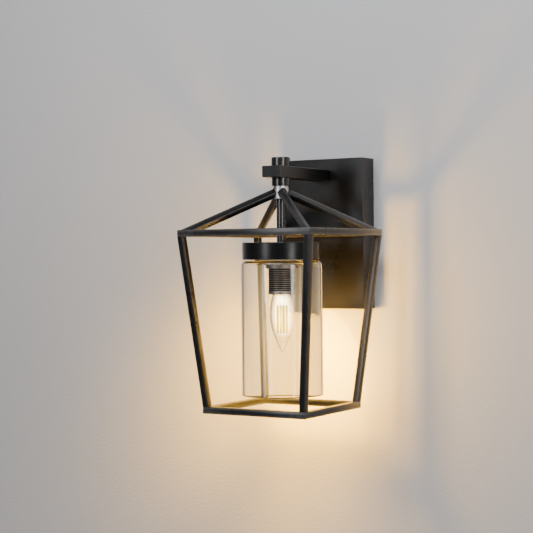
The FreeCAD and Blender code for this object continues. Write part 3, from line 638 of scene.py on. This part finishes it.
def easedOutline(corners, ease, steps=5):
    # rounds the corners of a closed outline of (radius, height) points; ease is one radius, or one for each
    points = []
    count = len(corners)
    for i, corner in enumerate(corners):
        size = ease[i] if isinstance(ease, (list, tuple)) else ease
        here = Vector(corner)
        back = Vector(corners[i - 1]) - here
        ahead = Vector(corners[(i + 1) % count]) - here
        if size <= 0 or corner[0] <= 0:
            points.append(tuple(here))
            continue
        size = min(size, back.length * meshFit["shortOfHalf"], ahead.length * meshFit["shortOfHalf"])
        start = here + back.normalized() * size
        end = here + ahead.normalized() * size
        for step in range(steps + 1):
            t = step / steps
            points.append(tuple(start * (1 - t) ** 2 + here * 2 * t * (1 - t) + end * t ** 2))
    return points


def turnedPiece(name, outline, steps=160, sharp=meshFit["sharp"]):
    # spins a closed outline of (radius, height) points round the lamp's axis
    mesh = bmesh.new()
    joinRings(mesh, [ringAt(mesh, radius, z, steps) for radius, z in outline], closed=True)
    return solidFrom(name, mesh, sharp)


def closedBead(mesh, points, radius, sides=12):
    # a round bead that follows a closed row of points
    count = len(points)
    rings = []
    for i, point in enumerate(points):
        along = (points[(i + 1) % count] - points[i - 1]).normalized()
        side = along.cross(Vector((0, 0, 1)))
        side = side.normalized() if side.length > meshFit["upright"] else Vector((1, 0, 0))
        up = side.cross(along)
        spokes = [side * math.cos(t) + up * math.sin(t) for t in fullTurn(sides)]
        rings.append([mesh.verts.new(point + spoke * radius) for spoke in spokes])
    joinRings(mesh, rings, closed=True)


# the cage: two square rings, four leaning posts and four rafters, welded and ground smooth
barSize = high("top_rail_front").z - low("top_rail_front").z
barEase = {"edge": 0.7 * mm, "steps": 3, "sink": 0.05 * mm}
cornerSigns = {"front_left": (-1, -1), "front_right": (1, -1), "back_right": (1, 1), "back_left": (-1, 1)}
topHalf = high("top_rail_front").x
bottomHalf = high("bottom_rail_front").x


def easeBar(mesh, edges):
    bmesh.ops.bevel(mesh, geom=edges, offset=barEase["edge"], segments=barEase["steps"], affect="EDGES",
                    profile=0.5)


def aroundAxis(signs, x, y, z):
    return Vector((lampAxis.x + signs[0] * x, lampAxis.y + signs[1] * y, z))


def squareRing(name, half, nodeStart):
    mesh = bmesh.new()
    loops = []
    bottom = low(nodeStart + "front").z
    top = bottom + barSize
    inner = half - barSize
    for reach, z in ((half, bottom), (half, top), (inner, top), (inner, bottom)):
        loops.append([mesh.verts.new(aroundAxis(signs, reach, reach, z)) for signs in cornerSigns.values()])
    joinRings(mesh, loops, closed=True)
    easeBar(mesh, list(mesh.edges))
    others = [nodeStart + side for side in ("right", "back", "left")]
    settle(solidFrom(name, mesh, meshFit["sharpBar"]), nodeStart + "front", *others)


def barBetween(name, first, second, node):
    # a four-sided bar with its long edges rounded and its ends left flat
    mesh = bmesh.new()
    start = [mesh.verts.new(point) for point in first]
    end = [mesh.verts.new(point) for point in second]
    joinRings(mesh, [start, end])
    mesh.faces.new(list(reversed(start)))
    mesh.faces.new(end)
    easeBar(mesh, [edge for edge in mesh.edges if (edge.verts[0] in start) != (edge.verts[1] in start)])
    settle(solidFrom(name, mesh, meshFit["sharpBar"]), node)


def postCorners(half, signs, z):
    inner = half - barSize
    corners = ((half, half), (inner, half), (inner, inner), (half, inner))
    return [aroundAxis(signs, x, y, z) for x, y in corners]


roof = {"shoulder": 3.6 * mm, "inset": 4.5 * mm, "start": 2.0 * mm, "bead": 0.9 * mm, "beadPoints": 48,
        "squareness": 1.35}
hubRadius = radiusOf("hub")
hubTop = high("hub").z
ridgeTop = hubTop - roof["shoulder"]
roofAngle = math.atan2(ridgeTop - cageTop, topHalf * math.sqrt(2) - roof["inset"] - hubRadius)
halfDiagonal = barSize / math.sqrt(2)


def rafterPoint(signs, along, across, above):
    # along the ridge from the hub's face, across to the side, and above (square to the ridge)
    outwards = Vector((signs[0], signs[1], 0)).normalized()
    sideways = Vector((-signs[1], signs[0], 0)).normalized()
    reach = hubRadius + along * math.cos(roofAngle) + above * math.sin(roofAngle)
    z = ridgeTop - along * math.sin(roofAngle) + above * math.cos(roofAngle)
    return Vector((lampAxis.x, lampAxis.y, z)) + outwards * reach + sideways * across


def makeRafter(name, signs):
    corners = [(0, 0), (halfDiagonal, -halfDiagonal), (0, -2 * halfDiagonal), (-halfDiagonal, -halfDiagonal)]
    first = []
    second = []
    for across, above in corners:
        first.append(rafterPoint(signs, -roof["start"] - above * math.tan(roofAngle), across, above))
        drop = ridgeTop - cageTop + above * math.cos(roofAngle)
        second.append(rafterPoint(signs, drop / math.sin(roofAngle), across, above))
    barBetween("rafter" + name, first, second, "rafter_" + name)


def makeRafterBeads():
    # black weld round the end of each rafter, where it meets the bare hub
    mesh = bmesh.new()
    power = roof["squareness"]
    for signs in cornerSigns.values():
        points = []
        for turn in fullTurn(roof["beadPoints"]):
            shrink = 1 / (abs(math.cos(turn)) ** power + abs(math.sin(turn)) ** power) ** (1 / power)
            across = halfDiagonal * math.cos(turn) * shrink
            above = -halfDiagonal + halfDiagonal * math.sin(turn) * shrink
            reach = math.sqrt(hubRadius ** 2 - across ** 2)
            along = (reach - hubRadius - above * math.sin(roofAngle)) / math.cos(roofAngle)
            points.append(rafterPoint(signs, along, across, above))
        closedBead(mesh, points, roof["bead"])
    addTo(solidFrom("rafterWelds", mesh), "rafter_front_left")


def makeCage():
    squareRing("topFrame", topHalf, "top_rail_")
    squareRing("bottomFrame", bottomHalf, "bottom_rail_")
    lower = high("bottom_rail_front").z - barEase["sink"]
    upper = low("top_rail_front").z + barEase["sink"]
    for name, signs in cornerSigns.items():
        feet = postCorners(bottomHalf, signs, lower)
        barBetween("post" + name, feet, postCorners(topHalf, signs, upper), "post_" + name)
        makeRafter(name, signs)
    makeRafterBeads()


makeCage()
print("cage made")

# turned pieces on the threaded tube
boreGap = 0.05 * mm
nippleRadius = radiusOf("hollow_nipple")
nippleBore = nippleRadius + boreGap
turnedEase = {"small": 0.1 * mm, "tube": 0.15 * mm, "button": 0.75 * mm, "hubTop": 0.5 * mm,
              "hubFoot": 0.7 * mm, "hubMouth": 0.2 * mm, "blindBore": 1 * mm}


def tubeOutline(node, bore):
    outer = radiusOf(node)
    bottom, top = low(node).z, high(node).z
    return [(bore, bottom), (outer, bottom), (outer, top), (bore, top)]


def makeTurnedBlacks():
    radius = radiusOf("finial")
    bottom, top = low("finial").z, high("finial").z
    boreTop = high("hollow_nipple").z + turnedEase["blindBore"]
    small, button = turnedEase["small"], turnedEase["button"]
    corners = [(0, top), (radius, top), (radius, bottom), (nippleBore, bottom), (nippleBore, boreTop),
               (0, boreTop)]
    settle(turnedPiece("finialKnob", easedOutline(corners, [0, button, button, small, small, 0])), "finial")
    outline = easedOutline(tubeOutline("collar", nippleBore), [small, button, button, small])
    settle(turnedPiece("collarRing", outline), "collar")
    outline = easedOutline(tubeOutline("stem_tube", nippleBore), turnedEase["tube"])
    settle(turnedPiece("stemTube", outline), "stem_tube")


def makeHub():
    mouth = radiusOf("stem_tube") + boreGap
    step = high("stem_tube").z
    bottom = low("hub").z
    corners = [(nippleBore, hubTop), (hubRadius, hubTop), (hubRadius, bottom), (mouth, bottom), (mouth, step),
               (nippleBore, step)]
    eases = [turnedEase["small"], turnedEase["hubTop"], turnedEase["hubFoot"], turnedEase["hubMouth"], 0, 0]
    settle(turnedPiece("hubSleeve", easedOutline(corners, eases)), "hub")


capSize = {"wall": 1.2 * mm, "edge": 1.6 * mm, "lip": 0.5 * mm, "fold": 0.6 * mm, "hole": 19.2 * mm,
           "holeGap": 0.2 * mm, "easeSteps": 8, "steps": 200}


def makeCap():
    outer = radiusOf("shade_cap")
    inner = outer - capSize["wall"]
    bottom, top = low("shade_cap").z, high("shade_cap").z
    under = top - capSize["wall"]
    hole = nippleRadius + capSize["holeGap"]
    small, lip = turnedEase["small"], capSize["lip"]
    corners = [(hole, top), (outer, top), (outer, bottom), (inner, bottom), (inner, under), (hole, under)]
    eases = [small, capSize["edge"], lip, lip, capSize["fold"], small]
    outline = easedOutline(corners, eases, capSize["easeSteps"])
    settle(turnedPiece("shadeCup", outline, capSize["steps"]), "shade_cap")
    outline = easedOutline(tubeOutline("cap_plate", capSize["hole"]), turnedEase["tube"])
    settle(turnedPiece("cupFloor", outline, capSize["steps"]), "cap_plate")


glassSize = {"wall": 3.0 * mm, "shoulder": 7.0 * mm, "hole": 20.5 * mm, "rim": 0.5 * mm, "arcSteps": 14,
             "rimSteps": 4, "steps": 256, "gasketHole": 20.2 * mm, "gasketEase": 0.4 * mm}


def arcPoints(centre, radius, start, end, steps):
    turns = [math.radians(start + (end - start) * step / steps) for step in range(steps + 1)]
    return [(centre[0] + radius * math.cos(turn), centre[1] + radius * math.sin(turn)) for turn in turns]


def makeShade():
    outer = radiusOf("glass_shade")
    wall, shoulder, rim = glassSize["wall"], glassSize["shoulder"], glassSize["rim"]
    arcSteps, rimSteps = glassSize["arcSteps"], glassSize["rimSteps"]
    bottom, top = low("glass_shade").z, high("glass_shade").z
    centre = (outer - shoulder, top - shoulder)
    points = [(glassSize["hole"], top)]
    points += arcPoints(centre, shoulder, 90, 0, arcSteps)
    points += arcPoints((outer - rim, bottom + rim), rim, 0, -90, rimSteps)
    points += arcPoints((outer - wall + rim, bottom + rim), rim, -90, -180, rimSteps)
    points += arcPoints(centre, shoulder - wall, 0, 90, arcSteps)
    points.append((glassSize["hole"], top - wall))
    cylinder = settle(turnedPiece("glassCylinder", points, glassSize["steps"]), "glass_shade")
    hideFrom(cylinder, "glossy")
    gasket = easedOutline(tubeOutline("shade_gasket", glassSize["gasketHole"]), glassSize["gasketEase"])
    settle(turnedPiece("shadeGasket", gasket), "shade_gasket")


socketSize = {"radius": 19.0 * mm, "ribPitch": 2.6 * mm, "ribDepth": 0.7 * mm, "ribSteps": 8, "ribPower": 0.7,
              "ribEnd": 4.0 * mm, "chamfer": 0.8 * mm, "flange": 2.5 * mm, "flangeEase": 0.3 * mm,
              "cavity": 14.0 * mm, "floor": 22.5 * mm, "steps": 192, "sharp": 60}


def makeSocket():
    # grey holder with fine turned ribs, where the shade ring screws on
    radius, chamfer, cavity = socketSize["radius"], socketSize["chamfer"], socketSize["cavity"]
    flangeRadius = radiusOf("socket_body")
    ease = socketSize["flangeEase"]
    bottom, top = low("socket_body").z, high("socket_body").z
    flangeLow = top - socketSize["flange"]
    roofZ = flangeLow - socketSize["floor"]
    ribStart = high("glass_shade").z - glassSize["wall"]
    pitch, steps = socketSize["ribPitch"], socketSize["ribSteps"]
    points = [(0, top), (flangeRadius - ease, top), (flangeRadius, top - ease), (flangeRadius, flangeLow),
              (radius, flangeLow)]
    for i in range(int((ribStart - bottom - socketSize["ribEnd"]) / pitch)):
        for step in range(steps):
            wave = (0.5 - 0.5 * math.cos(2 * math.pi * step / steps)) ** socketSize["ribPower"]
            points.append((radius - socketSize["ribDepth"] * wave, ribStart - (i + step / steps) * pitch))
    points += [(radius, bottom + socketSize["ribEnd"] - pitch), (radius, bottom + chamfer),
               (radius - chamfer, bottom), (cavity + chamfer, bottom), (cavity, bottom + chamfer),
               (cavity, roofZ), (0, roofZ)]
    settle(turnedPiece("bulbHolder", points, socketSize["steps"], socketSize["sharp"]), "socket_body")


threadSize = {"pitch": 3.63 * mm, "row": 0.3 * mm, "steps": 72, "leadOut": 0.6}


def threadedShell(name, node, wall, depth):
    # a thin sleeve with a rolled helical thread
    mesh = bmesh.new()
    radius = radiusOf(node)
    bottom, top = low(node).z, high(node).z
    pitch = threadSize["pitch"]
    rows = int((top - bottom) / threadSize["row"])
    rings = []
    for inset, order in ((0, range(rows + 1)), (wall, range(rows, -1, -1))):
        for row in order:
            z = bottom + (top - bottom) * row / rows
            fade = min(1.0, (top - z) / pitch, (z - bottom) / (pitch * threadSize["leadOut"]))
            ring = []
            for turn in fullTurn(threadSize["steps"]):
                wave = 0.5 + 0.5 * math.cos(2 * math.pi * (z / pitch) + turn)
                reach = radius - depth * wave * fade - inset
                ring.append(mesh.verts.new((lampAxis.x + reach * math.cos(turn),
                                            lampAxis.y + reach * math.sin(turn), z)))
            rings.append(ring)
    joinRings(mesh, rings, closed=True)
    settle(solidFrom(name, mesh), node)


bulbSize = {"wall": 0.8 * mm, "neck": 11.75 * mm, "neckLength": 3.0 * mm, "swell": 9.0 * mm,
            "belly": 29.0 * mm, "taper": ((0.38, 0.84), (0.72, 0.46)), "tipRadius": 1.8 * mm,
            "tipHeight": 1.4 * mm, "tipSteps": 6, "steps": 160, "sharp": 70, "baseGroove": 0.8 * mm,
            "baseWall": 0.5 * mm, "holderGroove": 0.225 * mm, "holderWall": 0.5 * mm}


def smoothThrough(points, steps=10):
    # a smooth curve through every point
    ends = [Vector(p) for p in points]
    ends = [ends[0] * 2 - ends[1]] + ends + [ends[-1] * 2 - ends[-2]]
    result = []
    for a, b, c, d in zip(ends, ends[1:], ends[2:], ends[3:]):
        for step in range(steps):
            t = step / steps
            bend = (2 * a - 5 * b + 4 * c - d) * t ** 2 + (3 * b - a - 3 * c + d) * t ** 3
            result.append(tuple(0.5 * (2 * b + (c - a) * t + bend)))
    return result + [tuple(ends[-2])]


def candleSide(inset):
    neck = bulbSize["neck"] - inset
    belly = radiusOf("bulb_glass") - inset
    rim = low("bulb_base").z
    bellyZ = rim - bulbSize["belly"]
    tip = low("bulb_glass").z + inset * 2
    points = [(neck, rim), ((neck + belly) / 2, rim - bulbSize["swell"]), (belly, bellyZ)]
    points += [(belly * width, bellyZ - (bellyZ - tip) * share) for share, width in bulbSize["taper"]]
    points.append((bulbSize["tipRadius"], tip + bulbSize["tipHeight"]))
    side = [(neck, rim + bulbSize["neckLength"])] + smoothThrough(points)
    for step in range(1, bulbSize["tipSteps"]):
        turn = math.radians(90 * step / bulbSize["tipSteps"])
        height = tip + bulbSize["tipHeight"] * (1 - math.sin(turn))
        side.append((bulbSize["tipRadius"] * math.cos(turn), height))
    return side + [(0, tip)]


def makeBulb():
    sides = candleSide(0) + list(reversed(candleSide(bulbSize["wall"])))
    envelope = turnedPiece("bulbEnvelope", sides, bulbSize["steps"], bulbSize["sharp"])
    hideFrom(settle(envelope, "bulb_glass"), "diffuse", "glossy")
    threadedShell("bulbThread", "bulb_base", bulbSize["baseWall"], bulbSize["baseGroove"])
    threadedShell("holderThread", "socket_screw_shell", bulbSize["holderWall"], bulbSize["holderGroove"])


# each row of a strip or tab is a share of the strip's radius, and a share of the tab's length
filamentSize = {"radius": 1.7 * mm, "circle": 6.4 * mm, "turn": 48.0, "count": 4, "steps": 20, "tabSteps": 12,
                "tab": 1.6 * mm, "stripEnd": ((0, 0.6), (0.75, 0.62), (1.0, 0.9)),
                "tabRows": ((0, 0), (0.5, 0), (0.75, 0.4), (0.75, 1), (0, 1))}


def makeFilaments():
    # upright phosphor strips with a metal tab pinched on each end
    bottom, top = low("bulb_filaments").z, high("bulb_filaments").z
    strips = bmesh.new()
    tabs = bmesh.new()
    radius, tab, circle = filamentSize["radius"], filamentSize["tab"], filamentSize["circle"]
    for turn in fullTurn(filamentSize["count"]):
        turn += math.radians(filamentSize["turn"])
        place = (lampAxis.x + circle * math.cos(turn), lampAxis.y + circle * math.sin(turn))
        rows = [(share, bottom + tab * rise) for share, rise in filamentSize["stripEnd"]]
        rows += [(share, top - tab * rise) for share, rise in reversed(filamentSize["stripEnd"])]
        steps = filamentSize["steps"]
        joinRings(strips, [ringAt(strips, radius * share, z, steps, place) for share, z in rows])
        for end, side in ((bottom, tab), (top, -tab)):
            rows = [(radius * share, end + side * rise) for share, rise in filamentSize["tabRows"]]
            joinRings(tabs, [ringAt(tabs, reach, z, filamentSize["tabSteps"], place) for reach, z in rows])
    hideFrom(settle(solidFrom("filamentStrips", strips), "bulb_filaments"), "diffuse", "glossy")
    addTo(solidFrom("filamentTabs", tabs), "filament_leads")


nutSize = {"spacing": 9.0 * mm, "rows": 24, "tip": 0.62, "tipRound": (0.82, 4), "ribs": 12, "ribSteps": 8,
           "ribDepth": 0.45 * mm, "ribbed": (0.06, 0.75), "bore": 1.15 * mm, "boreDepth": 5.0 * mm,
           "sharp": 60}


def makeWireNuts():
    # moulded cones with gripping ribs and a smooth skirt at the mouth
    mesh = bmesh.new()
    bottom, top = low("wire_nuts").z, high("wire_nuts").z
    widest = (high("wire_nuts").y - low("wire_nuts").y) / 2
    middleY = middle("wire_nuts").y
    steps = nutSize["ribs"] * nutSize["ribSteps"]
    blunt, slope = nutSize["tipRound"]
    ribStart, ribEnd = nutSize["ribbed"]
    bore, boreEnd = nutSize["bore"], top - nutSize["boreDepth"]
    for x in (-nutSize["spacing"], 0, nutSize["spacing"]):
        rings = []
        for row in range(nutSize["rows"] + 1):
            share = row / nutSize["rows"]
            z = bottom + (top - bottom) * share
            cone = widest * (nutSize["tip"] + (1 - nutSize["tip"]) * share) * min(1.0, blunt + share * slope)
            depth = nutSize["ribDepth"] if ribStart < share < ribEnd else 0.0
            ring = []
            for turn in fullTurn(steps):
                reach = cone - depth * (0.5 - 0.5 * math.cos(nutSize["ribs"] * turn))
                ring.append(mesh.verts.new((x + reach * math.cos(turn), middleY + reach * math.sin(turn), z)))
            rings.append(ring)
        rings.insert(0, ringAt(mesh, 0, bottom, steps, (x, middleY)))
        for radius, z in ((bore, top), (bore, boreEnd), (0, boreEnd)):
            rings.append(ringAt(mesh, radius, z, steps, (x, middleY)))
        joinRings(mesh, rings)
    settle(solidFrom("wireConnectors", mesh, nutSize["sharp"]), "wire_nuts")


makeTurnedBlacks()
makeHub()
makeCap()
makeShade()
makeSocket()
makeBulb()
makeFilaments()
makeWireNuts()
print("turned pieces made")


# stage and light
stageSize = {"reach": 6.0, "drop": 0.9, "wallGap": 0.3 * mm}
wallLook = {"colour": (0.455, 0.455, 0.468), "darker": 0.985, "grain": 260.0, "patch": 2.5, "rough": 0.8,
            "depth": 0.7 * mm}
floorLook = {"colour": (0.62, 0.61, 0.60), "darker": 0.97, "grain": 120.0, "patch": 1.5, "rough": 0.7}


def stageSheet(name, corners, look):
    material, tree, shader, output = startMaterial(name + "Paint")
    grain = useGroup(tree, skinGrain, {"Grain": look["grain"], "Patch": look["patch"]})
    second = [value * look["darker"] for value in look["colour"]]
    colour = mixColour(tree, fromTone(tree, grain), look["colour"], second)
    tree.links.new(colour, shader.inputs["Base Color"])
    shader.inputs["Roughness"].default_value = look["rough"]
    if look.get("depth"):
        bumpFrom(tree, shader, grain.outputs["Height"], look["depth"])
    mesh = bmesh.new()
    mesh.faces.new([mesh.verts.new(corner) for corner in corners])
    data = bpy.data.meshes.new(name)
    mesh.to_mesh(data)
    mesh.free()
    data.materials.append(material)
    return addObject(name, data), tree, shader, output


def makeStage():
    size = stageSize["reach"]
    back = cadBox[1][1] + stageSize["wallGap"]
    drop = cadBox[0][2] - stageSize["drop"]
    corners = [(-size, back, drop), (size, back, drop), (size, back, drop + size), (-size, back, drop + size)]
    wall, tree, shader, output = stageSheet("wall", corners, wallLook)
    rays = addNode(tree, "ShaderNodeLightPath")
    face = addNode(tree, "ShaderNodeNewGeometry")
    through = mathNode(tree, "MAXIMUM", rays.outputs["Is Shadow Ray"], face.outputs["Backfacing"])
    clearWhere(tree, shader, output, through)
    corners = [(-size, -size, drop), (size, -size, drop), (size, size, drop), (-size, size, drop)]
    floor = stageSheet("floor", corners, floorLook)[0]


panels = {
    "panelLeft": {"azimuth": -17, "height": 0.3, "distance": 2.3, "size": (0.34, 1.0), "power": 14.5,
                  "colour": (0.97, 0.98, 1.0)},
    "panelRight": {"azimuth": 60, "height": 0.25, "distance": 2.0, "size": (0.34, 1.0), "power": 15.0,
                   "colour": (1.0, 0.985, 0.96)},
    "panelTop": {"azimuth": 5, "height": 1.1, "distance": 1.05, "size": (1.0, 0.5), "power": 27.0,
                 "colour": (0.98, 0.99, 1.0)},
    "panelBehind": {"azimuth": 155, "height": 1.5, "distance": 1.9, "size": (1.6, 1.6), "power": 26.0,
                    "colour": (1.0, 0.99, 0.98)},
}
bulbLight = {"power": 10.0, "colour": (1.0, 0.50, 0.03), "size": 0.02}
glintLight = {"power": 2.3, "colour": (1.0, 0.56, 0.16), "size": 0.012}
poolLight = {"power": 58.0, "colour": (1.0, 0.49, 0.0), "size": 0.055, "angle": 106.0, "turn": 22.0,
             "tip": -24.0}
studio = {"colour": (0.94, 0.95, 0.97), "light": 0.10, "seen": 0.75}


def newLight(name, kind, look):
    data = bpy.data.lights.new(name, kind)
    data.energy = look["power"]
    data.color = look["colour"]
    return data


def addPanel(name, look):
    data = newLight(name, "AREA", look)
    data.shape = "RECTANGLE"
    data.size, data.size_y = look["size"]
    turn = math.radians(look["azimuth"])
    away = Vector((math.sin(turn), -math.cos(turn), 0)) * look["distance"] + Vector((0, 0, look["height"]))
    panel = addObject(name, data)
    panel.location = Vector((lampAxis.x, lampAxis.y, middle("top_rail_front").z)) + away
    panel.rotation_euler = (-away).to_track_quat("-Z", "Y").to_euler()


def addBulbLamp(name, kind, look):
    # sits in the middle of the filaments, and only its light is seen
    data = newLight(name, kind, look)
    data.shadow_soft_size = look["size"]
    lamp = addObject(name, data)
    lamp.location = (lampAxis.x, lampAxis.y, middle("bulb_filaments").z)
    hideFrom(lamp, "camera", "glossy", "transmission")
    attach(lamp, "bulb")
    return lamp


def makeLights():
    for name, look in panels.items():
        addPanel(name, look)
    addBulbLamp("bulbLight", "POINT", bulbLight)
    # mirrored in paint and metal, and lights nothing else
    glint = addBulbLamp("glintLight", "POINT", glintLight)
    hideFrom(glint, "diffuse")
    glint.visible_glossy = True
    # the pool that the filaments throw on the wall behind
    pool = addBulbLamp("poolLight", "SPOT", poolLight)
    pool.data.spot_size = math.radians(poolLight["angle"])
    pool.data.spot_blend = 1.0
    pool.rotation_euler = (math.radians(90 + poolLight["tip"]), 0, math.radians(poolLight["turn"]))


def makeWorld():
    # dim for lighting, so that black paint stays black, and pale where the camera sees it
    world = bpy.data.worlds.new("studio")
    bpy.context.scene.world = world
    world.use_nodes = True
    tree = world.node_tree
    background = tree.nodes["Background"]
    background.inputs["Color"].default_value = (*studio["colour"], 1)
    rays = addNode(tree, "ShaderNodeLightPath")
    strength = rangeNode(tree, rays.outputs["Is Camera Ray"], 0.0, 1.0, studio["light"], studio["seen"])
    tree.links.new(strength, background.inputs["Strength"])


makeStage()
makeLights()
makeWorld()
print("stage and lights set")
